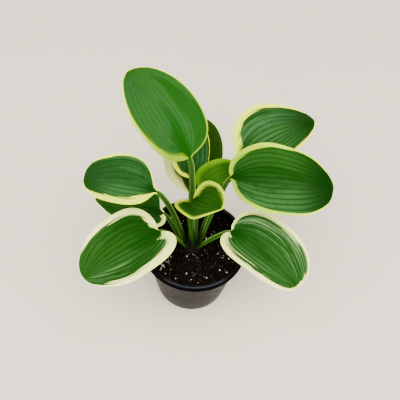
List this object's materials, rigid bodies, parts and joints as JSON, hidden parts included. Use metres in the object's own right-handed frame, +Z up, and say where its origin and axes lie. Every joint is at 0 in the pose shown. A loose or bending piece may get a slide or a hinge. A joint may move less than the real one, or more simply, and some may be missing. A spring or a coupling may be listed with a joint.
{
  "type": "potted hosta plant",
  "caption": "Small potted hosta: broad ribbed leaves with pale margins on channelled stalks, rooted in dark potting mix in a tapered black nursery pot.",
  "frame": {"origin": "centre of the pot's flat base, on the surface it stands on", "axes": "+Z up along the pot's axis; -Y towards the viewer, where two leaves hang over the rim; +X to the viewer's right"},
  "size_m": [0.2642, 0.2141, 0.2261],
  "materials": {
    "pot_plastic": "satin",
    "potting_mix": "matte",
    "crown_flesh": "matte",
    "leaf_back_left_green": "satin",
    "leaf_back_right_green": "satin",
    "leaf_right_green": "satin",
    "leaf_front_right_green": "satin",
    "leaf_front_left_green": "satin",
    "leaf_left_green": "satin",
    "leaf_left_low_green": "satin",
    "leaf_centre_green": "satin",
    "leaf_inner_right_green": "satin",
    "leaf_shaded_back_green": "satin",
    "leaf_inner_back_green": "satin"
  },
  "bodies": {
    "root": {"pot": "pot_plastic", "potting_soil": "potting_mix", "crown": "crown_flesh", "leaf_back_left": "leaf_back_left_green", "leaf_back_right": "leaf_back_right_green", "leaf_right": "leaf_right_green", "leaf_front_right": "leaf_front_right_green", "leaf_front_left": "leaf_front_left_green", "leaf_left": "leaf_left_green", "leaf_left_low": "leaf_left_low_green", "leaf_centre": "leaf_centre_green", "leaf_inner_right": "leaf_inner_right_green", "leaf_shaded_back": "leaf_shaded_back_green", "leaf_inner_back": "leaf_inner_back_green"}
  },
  "joints": []
}
